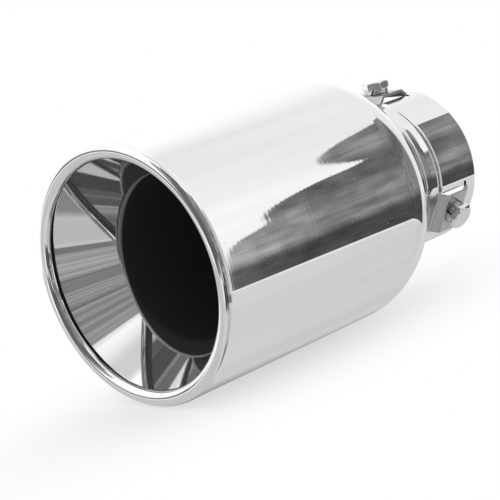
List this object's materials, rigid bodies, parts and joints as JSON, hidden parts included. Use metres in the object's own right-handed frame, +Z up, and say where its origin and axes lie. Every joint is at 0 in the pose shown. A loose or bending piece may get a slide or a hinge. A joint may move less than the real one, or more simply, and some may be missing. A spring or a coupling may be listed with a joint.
{
  "type": "exhaust tip",
  "caption": "Polished twin-wall exhaust tip with a rolled round mouth, an inner funnel liner and a slotted inlet collar clamped by set bolts.",
  "frame": {"origin": "centre of the inlet collar's rear edge, on the exhaust axis", "axes": "+Y runs back along the exhaust axis towards the tail pipe, -Y out of the mouth; +Z is up through the top clamp bolt; +X is to the right seen from behind the mouth looking along +Y"},
  "size_m": [0.1016, 0.1715, 0.1016],
  "materials": {
    "polished_steel": "polished",
    "liner_steel": "satin",
    "bolt_steel": "satin",
    "washer_steel": "satin"
  },
  "bodies": {
    "root": {"outer_shell": "polished_steel", "inner_liner": "liner_steel", "clamp_bolt_1": "bolt_steel", "clamp_bolt_2": "bolt_steel", "clamp_bolt_3": "bolt_steel", "lock_washer_1": "washer_steel", "lock_washer_2": "washer_steel", "lock_washer_3": "washer_steel"}
  },
  "joints": []
}
